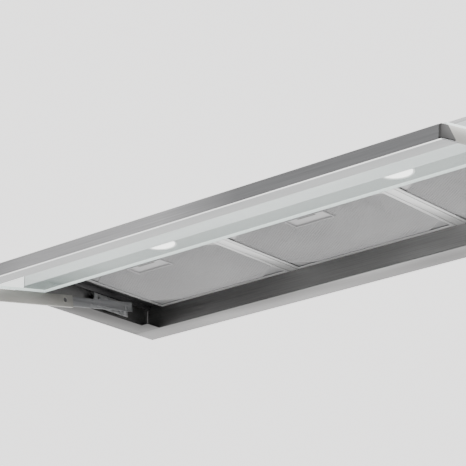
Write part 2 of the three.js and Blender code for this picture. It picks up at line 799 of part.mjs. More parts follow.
function addElectrics() {
  const [width, length, height] = terminalSize;
  const rear = backY - terminalInset;
  const bottom = bodyHeight + seatGap;
  add('terminal_box', block([terminalX - width / 2, terminalX + width / 2], [rear - length, rear],
    [bottom, bottom + height]), blackPlastic);
  const glandZ = bottom + height / 2;
  const glandY = rear + seatGap;
  const tip = glandY + glandLength;
  const nut = cylinderY(glandRadius, terminalX, [glandY, glandY + glandLength / 2], glandZ, nutSides);
  const nose = cylinderY(glandNoseRadius, terminalX, [glandY, tip], glandZ);
  const hole = cylinderY(glandBoreRadius, terminalX, [rear + glandBoreFloor, tip + overcut], glandZ);
  add('cable_gland', cut(join(nut, nose), hole), greyPlastic);
  const canY = backY - capacitorInset;
  const canEnds = [capacitorX - capacitorLength / 2, capacitorX + capacitorLength / 2];
  const can = cylinderX(capacitorRadius, canEnds, canY, bottom + capacitorRadius, discSides);
  add('capacitor', can, greyPlastic);

  const x = channelInnerX + channelWidth / 2;
  const closedEnd = visorTravel - channelRear;
  const stopY = pivotY + closedEnd * Math.cos(slope) - channelBottom * Math.sin(slope);
  const z = pivotLevel + closedEnd * Math.sin(slope) + channelRise * Math.cos(slope);
  const back = innerBackY - seatGap;
  const faceY = back - switchLength;
  const body = block([x - switchWidth / 2, x + switchWidth / 2], [faceY, back],
    [z - switchHeight / 2, z + switchHeight / 2]);
  const bore = cylinderY(plungerRadius + pinClearance, x, [faceY - overcut, faceY + plungerBore], z);
  add('microswitch', cut(body, bore), blackPlastic);
  const plungerEnds = [stopY + seatGap, faceY + plungerBore / 2];
  add('switch_plunger', cylinderY(plungerRadius, x, plungerEnds, z), greyPlastic);
}

addFlanges();
addBody();
addLampBar();
addControls();
addFilters();
addRails();
addPane();
addFascia();
addBrackets();
addBlowerBox();
addScroll();
addImpeller();
addCollar();
addFlap();
addElectrics();

export default model;
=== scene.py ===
# A built-in cooker hood with its glass visor pulled out. Lengths are in metres, and in millimetres where a
# dictionary says so.
import json
import math

import bmesh
import bpy
from mathutils import Matrix, Vector
from mathutils.bvhtree import BVHTree


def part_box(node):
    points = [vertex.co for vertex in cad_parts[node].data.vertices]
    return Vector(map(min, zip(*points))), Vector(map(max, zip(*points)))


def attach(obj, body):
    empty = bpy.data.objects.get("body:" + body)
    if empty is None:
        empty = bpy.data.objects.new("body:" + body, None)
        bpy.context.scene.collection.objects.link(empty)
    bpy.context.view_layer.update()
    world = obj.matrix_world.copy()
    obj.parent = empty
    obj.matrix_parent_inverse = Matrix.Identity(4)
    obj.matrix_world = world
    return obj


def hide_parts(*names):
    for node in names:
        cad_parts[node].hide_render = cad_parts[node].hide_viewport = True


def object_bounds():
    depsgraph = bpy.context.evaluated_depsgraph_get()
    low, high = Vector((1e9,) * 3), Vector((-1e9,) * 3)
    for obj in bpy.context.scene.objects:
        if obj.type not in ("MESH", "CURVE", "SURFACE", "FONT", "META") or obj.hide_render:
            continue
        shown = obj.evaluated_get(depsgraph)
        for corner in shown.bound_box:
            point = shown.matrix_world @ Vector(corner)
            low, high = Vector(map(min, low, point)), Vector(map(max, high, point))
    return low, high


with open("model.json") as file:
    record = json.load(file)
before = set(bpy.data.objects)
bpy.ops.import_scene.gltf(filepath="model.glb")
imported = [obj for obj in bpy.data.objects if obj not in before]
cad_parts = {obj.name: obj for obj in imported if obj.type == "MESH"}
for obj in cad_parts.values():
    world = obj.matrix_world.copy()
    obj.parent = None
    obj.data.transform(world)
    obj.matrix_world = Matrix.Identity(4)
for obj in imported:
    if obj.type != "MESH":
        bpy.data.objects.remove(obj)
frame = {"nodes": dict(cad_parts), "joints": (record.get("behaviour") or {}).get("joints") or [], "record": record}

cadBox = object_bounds()
nodes = frame["nodes"]
bodyOf = {node: body for body, members in frame["record"]["behaviour"]["bodies"].items() for node in members}
millimetre = 0.001
sides = ("left", "right")
places = ("left", "centre", "right")

# Camera
eye = {
    "aim": (-0.1457, -0.1485, 0.0516),
    "azimuth": 40.297,      # degrees, 0 looks along +Y
    "elevation": -20.336,   # from below
    "roll": -0.24,
    "distance": 2.6,
    "lens": 146.9,          # millimetres, as is the sensor
    "sensor": 36,
}


def makeCamera():
    camera = bpy.data.objects.new("camera", bpy.data.cameras.new("camera"))
    azimuth, elevation = math.radians(eye["azimuth"]), math.radians(eye["elevation"])
    back = Vector((math.sin(azimuth) * math.cos(elevation), -math.cos(azimuth) * math.cos(elevation),
                   math.sin(elevation)))
    turn = (-back).to_track_quat("-Z", "Y").to_matrix() @ Matrix.Rotation(math.radians(eye["roll"]), 3, "Z")
    place = Vector(eye["aim"]) + back * eye["distance"]
    camera.matrix_world = Matrix.LocRotScale(place, turn.to_quaternion(), None)
    camera.data.lens = eye["lens"]
    camera.data.sensor_width = eye["sensor"]
    bpy.context.scene.collection.objects.link(camera)
    bpy.context.scene.camera = camera


makeCamera()
print("camera ready")


# A shader value whose sums make nodes on its board
class Value:
    def __init__(self, board, socket):
        self.board = board
        self.socket = socket

    def __add__(self, other):
        return self.board.sum("ADD", self, other)

    def __radd__(self, other):
        return self.board.sum("ADD", other, self)

    def __sub__(self, other):
        return self.board.sum("SUBTRACT", self, other)

    def __rsub__(self, other):
        return self.board.sum("SUBTRACT", other, self)

    def __mul__(self, other):
        return self.board.sum("MULTIPLY", self, other)

    def __rmul__(self, other):
        return self.board.sum("MULTIPLY", other, self)


class Board:
    def __init__(self, name):
        self.material = bpy.data.materials.new(name)
        self.material.use_nodes = True
        self.tree = self.material.node_tree
        self.tree.nodes.clear()
        self.coords = self.add("ShaderNodeTexCoord", {}, {}, "Object")

    def add(self, kind, settings, sockets, output=0):
        made = self.tree.nodes.new(kind)
        for key, setting in settings.items():
            if key == "stops":
                self.setStops(made.color_ramp, setting)
            else:
                setattr(made, key, setting)
        for key, value in sockets.items():
            if isinstance(value, Value):
                self.tree.links.new(value.socket, made.inputs[key])
            else:
                made.inputs[key].default_value = value
        return Value(self, made.outputs[output]) if made.outputs else None

    def setStops(self, ramp, stops):
        while len(ramp.elements) < len(stops):
            ramp.elements.new(1)
        for element, (position, level) in zip(ramp.elements, stops):
            element.position = position
            element.color = (level, level, level, 1)

    def sum(self, operation, first, second):
        return self.add("ShaderNodeMath", {"operation": operation}, {0: first, 1: second})

    def stretched(self, scale, shift=(0, 0, 0)):
        return self.add("ShaderNodeMapping", {}, {"Vector": self.coords, "Scale": scale, "Location": shift})

    def noise(self, scale, detail, vector=None):
        return self.add("ShaderNodeTexNoise", {},
                        {"Vector": vector or self.coords, "Scale": scale, "Detail": detail})

    def ramp(self, value, *stops):
        return self.add("ShaderNodeValToRGB", {"stops": stops}, {"Fac": value})

    def mix(self, factor, first, second, blend="MIX"):
        return self.add("ShaderNodeMix", {"data_type": "RGBA", "blend_type": blend},
                        {0: factor, 6: first, 7: second}, 2)

    def bump(self, height, distance, strength):
        return self.add("ShaderNodeBump", {}, {"Height": height, "Distance": distance, "Strength": strength})

    def finish(self, sockets):
        shader = self.add("ShaderNodeBsdfPrincipled", {}, sockets)
        self.add("ShaderNodeOutputMaterial", {}, {"Surface": shader})
        return self.material


def tone(red, green, blue):
    return (red, green, blue, 1)


# Finishes. Each finish has its numbers in a dictionary above its function, and a ramp stop is a position and
# the level there. First come the stretches that turn fine noise into grain.
alongHood = (0.012, 1, 1)
acrossHood = (1, 0.012, 1)
drawnAlong = (0.02, 1, 1)
drawnAcross = (1, 0.02, 1)
evenGrain = (1, 1, 1)
frostDark = (0.3, 0.6)
fullLevel = (0.7, 1)

brushed = {"streakSize": 900, "streakDetail": 3, "patchSize": 3.2, "patchDetail": 1, "patchDark": (0.32, 0),
           "patchLight": (0.68, 1), "streakDark": (0.3, 0.2), "streakTint": 0.28, "roughSpread": 0.14,
           "grainDepth": 0.00004, "grainStrength": 0.25, "wander": 0.08, "patchStretch": (1.3, 4, 4)}


def brushedMetal(name, light, dark, roughness, grain, patch=brushed["patchStretch"], shift=(0, 0, 0),
                 along=()):
    board = Board(name)
    streaks = board.noise(brushed["streakSize"], brushed["streakDetail"], board.stretched(grain))
    patches = board.noise(brushed["patchSize"], brushed["patchDetail"], board.stretched(patch, shift))
    shade = board.ramp(patches, brushed["patchDark"], brushed["patchLight"])
    # Given stops, a ramp along X, wavered a little by the patches, paints sheen and shade along the piece in place
    # of the random patches
    if along:
        across = board.add("ShaderNodeSeparateXYZ", {}, {"Vector": board.coords}, 0)
        shade = board.ramp(across + 0.5 + brushed["wander"] * (patches - 0.5), *along)
    colour = board.mix(shade, dark, light)
    streakTone = board.ramp(streaks, brushed["streakDark"], fullLevel)
    colour = board.mix(brushed["streakTint"], colour, streakTone, "MULTIPLY")
    return board.finish({"Base Color": colour, "Metallic": 1.0,
                         "Roughness": roughness + brushed["roughSpread"] * streaks,
                         "Normal": board.bump(streaks, brushed["grainDepth"], brushed["grainStrength"])})


galvanised = {"flakeSize": 160, "flakeSoftness": 0.3, "flakeDark": (0.2, 0), "flakeLight": (0.8, 1),
              "cloudSize": 14, "cloudDetail": 3, "cloudDark": (0.3, 0.3), "cloudTint": 0.18, "metal": 0.85,
              "roughness": 0.42, "roughSpread": 0.12, "flakeHeight": 0.3, "grainDepth": 0.0002,
              "grainStrength": 0.15}


def galvanisedSheet(name, light, dark):
    board = Board(name)
    spangle = board.add("ShaderNodeTexVoronoi", {"feature": "SMOOTH_F1"},
                        {"Vector": board.coords, "Scale": galvanised["flakeSize"],
                         "Smoothness": galvanised["flakeSoftness"]}, "Color")
    flake = board.add("ShaderNodeSeparateColor", {}, {"Color": spangle}, 0)
    cloud = board.noise(galvanised["cloudSize"], galvanised["cloudDetail"])
    colour = board.mix(board.ramp(flake, galvanised["flakeDark"], galvanised["flakeLight"]), dark, light)
    cloudTone = board.ramp(cloud, galvanised["cloudDark"], fullLevel)
    colour = board.mix(galvanised["cloudTint"], colour, cloudTone, "MULTIPLY")
    height = cloud + galvanised["flakeHeight"] * flake
    return board.finish({"Base Color": colour, "Metallic": galvanised["metal"],
                         "Roughness": galvanised["roughness"] + galvanised["roughSpread"] * flake,
                         "Normal": board.bump(height, galvanised["grainDepth"], galvanised["grainStrength"])})


plastic = {"grainSize": 1400, "grainDetail": 2, "cloudSize": 30, "cloudDetail": 2, "cloudDark": (0.3, 0.5),
           "cloudTint": 0.1, "roughSpread": 0.1, "grainDepth": 0.00003, "grainStrength": 0.5}


def mouldedPlastic(name, colour, roughness):
    board = Board(name)
    grain = board.noise(plastic["grainSize"], plastic["grainDetail"])
    cloud = board.noise(plastic["cloudSize"], plastic["cloudDetail"])
    cloudTone = board.ramp(cloud, plastic["cloudDark"], fullLevel)
    shaded = board.mix(plastic["cloudTint"], colour, cloudTone, "MULTIPLY")
    return board.finish({"Base Color": shaded, "Roughness": roughness + plastic["roughSpread"] * grain,
                         "Normal": board.bump(grain, plastic["grainDepth"], plastic["grainStrength"])})


satin = {"drawnSize": 700, "drawnDetail": 2, "cloudSize": 9, "cloudDetail": 2, "cloudDark": (0.3, 0),
         "drawnDark": (0.3, 0.3), "drawnTint": 0.08, "metal": 0.9, "roughness": 0.36, "roughSpread": 0.1,
         "grainDepth": 0.00003, "grainStrength": 0.3}


def satinAluminium(name, light, dark, roughness=satin["roughness"], grain=drawnAlong):
    board = Board(name)
    drawn = board.noise(satin["drawnSize"], satin["drawnDetail"], board.stretched(grain))
    cloud = board.noise(satin["cloudSize"], satin["cloudDetail"])
    colour = board.mix(board.ramp(cloud, satin["cloudDark"], fullLevel), dark, light)
    drawnTone = board.ramp(drawn, satin["drawnDark"], fullLevel)
    colour = board.mix(satin["drawnTint"], colour, drawnTone, "MULTIPLY")
    return board.finish({"Base Color": colour, "Metallic": satin["metal"],
                         "Roughness": roughness + satin["roughSpread"] * drawn,
                         "Normal": board.bump(drawn, satin["grainDepth"], satin["grainStrength"])})


paneGlass = {"smearSize": 6, "smearDetail": 2, "light": tone(0.42, 0.53, 0.51), "dark": tone(0.5, 0.6, 0.58),
             "roughness": 0.06, "roughSpread": 0.05, "cover": 0.16, "coverSpread": 0.04, "bend": 1.45}


def clearPane(name):
    board = Board(name)
    smear = board.noise(paneGlass["smearSize"], paneGlass["smearDetail"])
    return board.finish({"Base Color": board.mix(smear, paneGlass["light"], paneGlass["dark"]),
                         "Roughness": paneGlass["roughness"] + paneGlass["roughSpread"] * smear,
                         "Alpha": paneGlass["cover"] + paneGlass["coverSpread"] * smear,
                         "IOR": paneGlass["bend"]})


lampGlass = {"frostSize": 900, "frostDetail": 2, "body": tone(0.95, 0.95, 0.93), "glow": tone(1, 0.99, 0.96),
             "frostTint": 0.1, "glowStrength": 2.2, "roughness": 0.4, "roughSpread": 0.1,
             "grainDepth": 0.00004, "grainStrength": 0.5}


def frostedLamp(name):
    board = Board(name)
    frost = board.noise(lampGlass["frostSize"], lampGlass["frostDetail"])
    frostTone = board.ramp(frost, frostDark, fullLevel)
    glow = board.mix(lampGlass["frostTint"], lampGlass["glow"], frostTone, "MULTIPLY")
    return board.finish({"Base Color": lampGlass["body"],
                         "Roughness": lampGlass["roughness"] + lampGlass["roughSpread"] * frost,
                         "Emission Color": glow, "Emission Strength": lampGlass["glowStrength"],
                         "Normal": board.bump(frost, lampGlass["grainDepth"], lampGlass["grainStrength"])})


edgeGlass = {"frostSize": 1200, "frostDetail": 2, "body": tone(0.80, 0.88, 0.86), "frostTint": 0.15,
             "roughness": 0.45, "roughSpread": 0.1, "grainDepth": 0.00003, "grainStrength": 0.4}


def frostedEdge(name):
    board = Board(name)
    frost = board.noise(edgeGlass["frostSize"], edgeGlass["frostDetail"])
    frostTone = board.ramp(frost, frostDark, fullLevel)
    colour = board.mix(edgeGlass["frostTint"], edgeGlass["body"], frostTone, "MULTIPLY")
    return board.finish({"Base Color": colour,
                         "Roughness": edgeGlass["roughness"] + edgeGlass["roughSpread"] * frost,
                         "Normal": board.bump(frost, edgeGlass["grainDepth"], edgeGlass["grainStrength"])})


# Second finishes, for single faces or pieces of a slot. All but the ground glass edge are lighter and darker
# copies of the brushed steel: painted light and painted shade.
groundGlass = frostedEdge("ground glass edge")
# Darker copy for faces inside the hood: painted shade. The shift of its patches places darker and lighter
# stretches along the hood, also painted shade.
recessShadeSteel = brushedMetal("brushed recess steel, painted shade", tone(0.19, 0.19, 0.19), tone(0.075, 0.075, 0.075), 0.32,
                           alongHood, (1.0, 1, 1), (0.35, 0, 0))
# Darker copy for the side flanges: painted shade
sideShadeSteel = brushedMetal("side flange steel, painted shade", tone(0.09, 0.09, 0.09), tone(0.055, 0.055, 0.055), 0.34,
                         acrossHood)
# Lighter copy for the faces under the fascia: painted light
undersideLitSteel = brushedMetal("fascia underside steel, painted light", tone(0.38, 0.39, 0.395), tone(0.3, 0.31, 0.315), 0.34,
                              alongHood)
# Near-white copy for the fascia's front lip: a painted highlight
lipHighlightSteel = brushedMetal("fascia lip steel, painted highlight", tone(0.95, 0.96, 0.96), tone(0.9, 0.91, 0.91), 0.22, alongHood)
# Darker copy for the side ledges beside the filters: painted shade
ledgeShadeSteel = brushedMetal("ledge steel, painted shade", tone(0.16, 0.16, 0.165), tone(0.09, 0.09, 0.093), 0.36, acrossHood)
# Lighter copy for the body's front wall: painted light
frontLitSteel = brushedMetal("brushed front wall steel, painted light", tone(0.62, 0.65, 0.65), tone(0.52, 0.55, 0.55), 0.34,
                          alongHood)
# Darker copy for the lamp bar: painted shade
barShadeSteel = brushedMetal("lamp bar steel, painted shade", tone(0.16, 0.17, 0.17), tone(0.12, 0.13, 0.13), 0.34, alongHood)

# Painted sheen and shade: how light the fascia is along its length, from left to right
fasciaPaintedSheen = ((0.1, 0), (0.17, 0.1), (0.28, 0.75), (0.5, 1), (0.62, 0.12), (0.95, 0.1))
finishes = {
    "brushed_flange": brushedMetal("brushed flange steel", tone(0.27, 0.27, 0.27), tone(0.12, 0.12, 0.12),
                                   0.3, alongHood),
    "brushed_fascia": brushedMetal("brushed fascia steel with painted sheen", tone(0.25, 0.252, 0.257),
                                   tone(0.1, 0.102, 0.105), 0.3, alongHood, (1.1, 1, 1),
                                   along=fasciaPaintedSheen),
    "galvanised": galvanisedSheet("galvanised sheet", tone(0.32, 0.325, 0.33), tone(0.24, 0.245, 0.25)),
    "dark_paint": mouldedPlastic("dark satin paint", tone(0.05, 0.052, 0.055), 0.4),
    "filter_frame": satinAluminium("filter frame aluminium", tone(0.6, 0.605, 0.605),
                                   tone(0.48, 0.485, 0.485)),
    "filter_mesh": satinAluminium("filter mesh aluminium", tone(0.37, 0.37, 0.375), tone(0.32, 0.32, 0.325),
                                  0.5, evenGrain),
    "rail_aluminium": satinAluminium("rail aluminium", tone(0.3, 0.297, 0.28), tone(0.22, 0.218, 0.205), 0.42,
                                     drawnAcross),
    "rail_steel": satinAluminium("rail steel", tone(0.22, 0.225, 0.23), tone(0.15, 0.155, 0.16), 0.38,
                                 drawnAcross),
    "cap_plastic": mouldedPlastic("end cap plastic", tone(0.012, 0.012, 0.012), 0.7),
    "black_plastic": mouldedPlastic("black plastic", tone(0.02, 0.02, 0.022), 0.5),
    "grey_plastic": mouldedPlastic("grey plastic", tone(0.3, 0.31, 0.32), 0.45),
    "handle_plastic": mouldedPlastic("filter handle plastic", tone(0.24, 0.24, 0.245), 0.42),
    "lamp_lens": frostedLamp("lamp lens"),
    "pane_glass": clearPane("visor glass"),
}
print("finishes ready")

nodeSlots = {
    "brushed_flange": ("flange_back", "flange_left", "flange_right", "lamp_bar"),
    "brushed_fascia": ("fascia",),
    "dark_paint": ("fan_motor",),
    "filter_frame": ("divider_left", "divider_right", "side_ledge_left", "side_ledge_right",
                     "filter_frame_left", "filter_frame_centre", "filter_frame_right"),
    "filter_mesh": ("filter_mesh_left", "filter_mesh_centre", "filter_mesh_right"),
    "rail_aluminium": ("outer_channel_left", "outer_channel_right"),
    "rail_steel": ("inner_rail_left", "inner_rail_right", "pivot_bolt_left", "pivot_bolt_right", "fan_shaft",
                   "flap_axle"),
    "cap_plastic": ("end_cap_left", "end_cap_right"),
    "black_plastic": ("control_panel", "impeller", "duct_collar", "terminal_box", "microswitch",
                      "filter_latch_left", "filter_latch_centre", "filter_latch_right"),
    "grey_plastic": ("light_button", "fan_button", "damper_flap", "cable_gland", "capacitor",
                     "switch_plunger"),
    "handle_plastic": ("filter_handle_left", "filter_handle_centre", "filter_handle_right"),
    "lamp_lens": ("lamp_lens_left", "lamp_lens_right"),
    "pane_glass": ("glass_pane",),
}
slotOf = {node: slot for slot, members in nodeSlots.items() for node in members}


def dress(piece, material):
    piece.data.materials.clear()
    piece.data.materials.append(material)


for node, piece in nodes.items():
    dress(piece, finishes[slotOf.get(node, "galvanised")])


# Shaping: lengths in millimetres, angles in degrees. Front facing is how squarely a face looks forward.
shaping = {"weld": 0.01, "spunWeld": 0.001, "flatWithin": 0.5, "smoothBelow": 28, "roundAbove": 40,
           "roundSteps": 2, "frontFacing": 0.9}


def shadeByAngle(shape):
    limit = math.radians(shaping["smoothBelow"])
    for face in shape.faces:
        face.smooth = True
    for edge in shape.edges:
        edge.smooth = len(edge.link_faces) == 2 and edge.calc_face_angle() < limit


def keepPiece(name, shape, body, slot, replaced=(), extra=()):
    bmesh.ops.recalc_face_normals(shape, faces=shape.faces)
    shadeByAngle(shape)
    mesh = bpy.data.meshes.new(name)
    shape.to_mesh(mesh)
    shape.free()
    piece = bpy.data.objects.new(name, mesh)
    bpy.context.scene.collection.objects.link(piece)
    for material in (finishes[slot], *extra):
        mesh.materials.append(material)
    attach(piece, body)
    if replaced:
        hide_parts(*replaced)


def copyOf(node):
    shape = bmesh.new()
    shape.from_mesh(nodes[node].data)
    bmesh.ops.remove_doubles(shape, verts=shape.verts, dist=shaping["weld"] * millimetre)
    bmesh.ops.dissolve_limit(shape, angle_limit=math.radians(shaping["flatWithin"]), verts=shape.verts,
                             edges=shape.edges)
    return shape


def roundEdges(shape, width, segments=shaping["roundSteps"]):
    limit = math.radians(shaping["roundAbove"])
    sharp = [edge for edge in shape.edges
             if len(edge.link_faces) == 2 and edge.calc_face_angle() > limit]
    bmesh.ops.bevel(shape, geom=sharp, offset=width * millimetre, offset_type="OFFSET", affect="EDGES",
                    segments=segments, profile=0.5, material=-1, clamp_overlap=True)


def spunShape(profile, turn, steps):
    shape = bmesh.new()
    corners = [shape.verts.new((radius * millimetre, 0, height * millimetre)) for radius, height in profile]
    line = [shape.edges.new(pair) for pair in zip(corners, corners[1:])]
    bmesh.ops.spin(shape, geom=corners + line, cent=(0, 0, 0), axis=(0, 0, 1), angle=math.tau, steps=steps,
                   use_merge=True)
    bmesh.ops.remove_doubles(shape, verts=shape.verts, dist=shaping["spunWeld"] * millimetre)
    bmesh.ops.recalc_face_normals(shape, faces=shape.faces)
    bmesh.ops.transform(shape, matrix=turn, verts=shape.verts)
    return shape


def facing(direction, place):
    turn = Vector(direction).to_track_quat("Z", "Y").to_matrix().to_4x4()
    return Matrix.Translation(Vector(place)) @ turn


def addTo(whole, part):
    mesh = bpy.data.meshes.new("joined")
    part.to_mesh(mesh)
    part.free()
    whole.from_mesh(mesh)
    bpy.data.meshes.remove(mesh)


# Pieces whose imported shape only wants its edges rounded, and by how many millimetres
roundedPieces = {
    "flange_back": 0.35, "flange_left": 0.35, "flange_right": 0.35, "body_shell": 0.4, "side_plate_left": 0.4,
    "side_plate_right": 0.4, "lamp_bar": 0.4, "divider_left": 0.5, "divider_right": 0.5,
    "side_ledge_left": 0.4, "side_ledge_right": 0.4, "rear_ledge": 0.3, "rail_bracket_left": 0.4,
    "rail_bracket_right": 0.4, "pivot_bolt_left": 0.3, "pivot_bolt_right": 0.3, "inner_rail_left": 0.3,
    "inner_rail_right": 0.3, "outer_channel_left": 0.35, "outer_channel_right": 0.35, "end_cap_left": 0.8,
    "end_cap_right": 0.8, "blower_box": 0.6, "duct_collar": 0.5, "terminal_box": 1.6, "control_panel": 0.4,
    "light_button": 0.8, "fan_button": 0.8, "filter_frame_left": 0.4, "filter_frame_centre": 0.4,
    "filter_frame_right": 0.4, "filter_handle_left": 0.5, "filter_handle_centre": 0.5,
    "filter_handle_right": 0.5, "filter_latch_left": 0.5, "filter_latch_centre": 0.5,
    "filter_latch_right": 0.5, "damper_flap": 0.3, "capacitor": 1.2, "cable_gland": 0.4, "microswitch": 0.4,
    "motor_bracket": 0.3, "fan_motor": 0.8,
}


def markInner(shape, node):
    low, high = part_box(node)
    middle = Vector((0, (low.y + high.y) / 2, (low.z + high.z) / 2))
    shape.normal_update()
    for face in shape.faces:
        # Faces inside get the recess copy, painted shade; the body's front-facing faces get the front wall copy,
        # painted light
        inner = face.normal.dot(middle - face.calc_center_median()) > 0
        front = node == "body_shell" and face.normal.y < -shaping["frontFacing"]
        face.material_index = 1 if inner else 2 if front else 0


def makeRoundedPieces():
    shadedInsidePieces = ("body_shell", "side_plate_left", "side_plate_right")
    # Pieces that take a darker copy on every face: painted shade
    wholeShadeCopies = {"flange_left": sideShadeSteel, "flange_right": sideShadeSteel, "side_ledge_left": ledgeShadeSteel,
                   "side_ledge_right": ledgeShadeSteel, "lamp_bar": barShadeSteel}
    shadeAndLightCopies = {node: [recessShadeSteel, frontLitSteel] for node in shadedInsidePieces}
    shadeAndLightCopies.update({node: [finish] for node, finish in wholeShadeCopies.items()})
    for node, width in roundedPieces.items():
        shape = copyOf(node)
        roundEdges(shape, width)
        if node in shadedInsidePieces:
            markInner(shape, node)
        if node in wholeShadeCopies:
            for face in shape.faces:
                face.material_index = 1
        keepPiece(node + "_formed", shape, bodyOf[node], slotOf.get(node, "galvanised"), [node],
                  shadeAndLightCopies.get(node, ()))


# Visor: slope in degrees, widths in millimetres, and how squarely the lip, underside and pane faces look
# down or up
visor = {"slope": 10.2, "edgeRadius": 0.9, "edgeSteps": 3, "paneChamfer": 0.6, "chamferSteps": 1,
         "lipWidth": 3.2, "lipFacing": 0.3, "undersideFacing": 0.93, "paneFacing": 0.9}
pivot = next(joint["pos_m"] for joint in frame["joints"] if joint["name"] == "visor_tilt")


def railPoint(x, along, up):
    slope = math.radians(visor["slope"])
    y = pivot[1] + along * math.cos(slope) - up * math.sin(slope)
    return Vector((x, y, pivot[2] + along * math.sin(slope) + up * math.cos(slope)))


def makeFascia():
    shape = copyOf("fascia")
    roundEdges(shape, visor["edgeRadius"], visor["edgeSteps"])
    low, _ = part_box("fascia")
    for vertex in shape.verts:
        vertex.co.y = max(vertex.co.y, low.y)
    slope = math.radians(visor["slope"])
    rearward = Vector((0, math.cos(slope), math.sin(slope)))
    front = min(vertex.co.dot(rearward) for vertex in shape.verts)
    lipPoint = rearward * (front + visor["lipWidth"] * millimetre)
    bmesh.ops.bisect_plane(shape, geom=shape.verts[:] + shape.edges[:] + shape.faces[:], plane_co=lipPoint,
                           plane_no=rearward)
    shape.normal_update()
    for face in shape.faces:
        down = -face.normal.z
        inLip = (face.calc_center_median() - lipPoint).dot(rearward) < 0
        lip = inLip and down > visor["lipFacing"]
        # Lip faces that look down get the painted highlight, the other faces that look down the underside's
        # painted light
        face.material_index = 2 if lip else 1 if down > visor["undersideFacing"] else 0
    keepPiece("fascia_formed", shape, "visor", "brushed_fascia", ["fascia"], [undersideLitSteel, lipHighlightSteel])


def makePane():
    shape = copyOf("glass_pane")
    roundEdges(shape, visor["paneChamfer"], visor["chamferSteps"])
    for face in shape.faces:
        face.material_index = 0 if abs(face.normal.z) > visor["paneFacing"] else 1
    keepPiece("glass_pane_ground", shape, "visor", "pane_glass", ["glass_pane"], [groundGlass])


# Expanded filter mesh in millimetres. The grid overreaches the filter and is turned, in degrees, before it
# is trimmed.
expanded = {"pitchX": 6.4, "pitchY": 4.6, "strand": 0.9, "sheet": 0.5, "overreach": 1.5, "spareCells": 4,
            "turn": 45}


def expandedLayer(low, high, level):
    pitchX, pitchY = expanded["pitchX"], expanded["pitchY"]
    shape = bmesh.new()
    size = high - low
    across = max(size.x / pitchX, size.y / pitchY) * expanded["overreach"] / millimetre
    cells = int(across) + expanded["spareCells"]
    bmesh.ops.create_grid(shape, x_segments=cells, y_segments=cells, size=cells / 2)
    turn = Matrix.Rotation(math.radians(expanded["turn"]), 3, "Z")
    bmesh.ops.rotate(shape, matrix=turn, verts=shape.verts)
    half = math.sqrt(0.5) * millimetre
    bmesh.ops.scale(shape, vec=(pitchX * half, pitchY * half, 1), verts=shape.verts)
    centre = (low + high) / 2
    bmesh.ops.translate(shape, vec=(centre.x, centre.y, level), verts=shape.verts)
    for corner, direction in ((low, (-1, 0, 0)), (low, (0, -1, 0)), (high, (1, 0, 0)), (high, (0, 1, 0))):
        bmesh.ops.bisect_plane(shape, geom=shape.verts[:] + shape.edges[:] + shape.faces[:], plane_co=corner,
                               plane_no=direction, clear_outer=True)
    bmesh.ops.wireframe(shape, faces=shape.faces, thickness=expanded["strand"] * millimetre, use_replace=True,
                        use_boundary=True, use_even_offset=False)
    return shape


def makeFilterMesh(place):
    node = f"filter_mesh_{place}"
    low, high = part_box(node)
    pocketLow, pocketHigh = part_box(f"filter_handle_{place}")
    inner = Vector((expanded["strand"], expanded["strand"], 0)) * millimetre
    shape = bmesh.new()
    strand, sheet = expanded["strand"] * millimetre, expanded["sheet"] * millimetre
    level = low.z + strand / 2
    addTo(shape, expandedLayer(low + inner, high - inner, level))
    pocket = [face for face in shape.faces
              if pocketLow.x < face.calc_center_median().x < pocketHigh.x
              and pocketLow.y < face.calc_center_median().y < pocketHigh.y]
    bmesh.ops.delete(shape, geom=pocket, context="FACES")
    backing = bmesh.new()
    size = high - low
    middle = Matrix.Translation(((low.x + high.x) / 2, (low.y + high.y) / 2, level + strand / 2 + sheet / 2))
    bmesh.ops.create_cube(backing, size=1, matrix=middle @ Matrix.Diagonal((size.x, size.y, sheet, 1)))
    addTo(shape, backing)
    keepPiece(f"filter_layers_{place}", shape, bodyOf[node], "filter_mesh", [node])


# Lamps, as radius and height in millimetres. The bezel's depth sets where both sit.
lampShape = {"bezel": [(24, 0), (24, -1.2), (23.4, -1.7), (22.2, -1.7), (21.6, -1.2), (21.6, 0)],
             "lens": [(0, -1.1), (14, -1.1), (21.3, -0.8), (21.3, 1.5), (0, 1.5)],
             "depth": 1.7, "steps": 64}


def makeLamp(side):
    node = f"lamp_lens_{side}"
    low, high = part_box(node)
    seat = low.z + lampShape["depth"] * millimetre
    centre = Matrix.Translation(((low.x + high.x) / 2, (low.y + high.y) / 2, seat))
    ring = spunShape(lampShape["bezel"] + lampShape["bezel"][:1], centre, lampShape["steps"])
    keepPiece(f"lamp_bezel_{side}", ring, "housing", "filter_frame")
    lens = spunShape(lampShape["lens"], centre, lampShape["steps"])
    keepPiece(f"lamp_diffuser_{side}", lens, "housing", "lamp_lens", [node])


# Screw, rivet and pin-hole outlines, as radius and height in millimetres; the pin hole is a thin dark disc,
# painted shade
screwProfile = [(0, 0), (3.4, 0), (3.4, 0.7), (2.9, 1.3), (1.9, 1.7), (0, 1.8)]
rivetProfile = [(0, 0), (2.6, 0), (2.5, 0.15), (2.0, 0.3), (0, 0.35)]
eyeletProfile = [(3.3, 0), (4.3, 0), (4.2, 0.2), (3.9, 0.3), (3.6, 0.25), (3.3, 0)]
pinHoleShadeProfile = [(0, 0), (3.3, 0), (3.3, 0.1), (0, 0.1)]
domeProfile = [(0, 0), (2.4, 0), (2.2, 0.5), (1.4, 0.9), (0, 1.0)]

# Places in metres: along and up from the visor's pivot on the rails, and in and down from a bracket's edges
fixings = {"rivets": ((-0.0729, 0.0012), (-0.0575, 0.0005)), "pin": (-0.1285, 0.0034),
           "frontScrew": (0.012, 0.008), "rearScrew": (0.03, 0.006), "steps": 20, "dropHeight": 1}


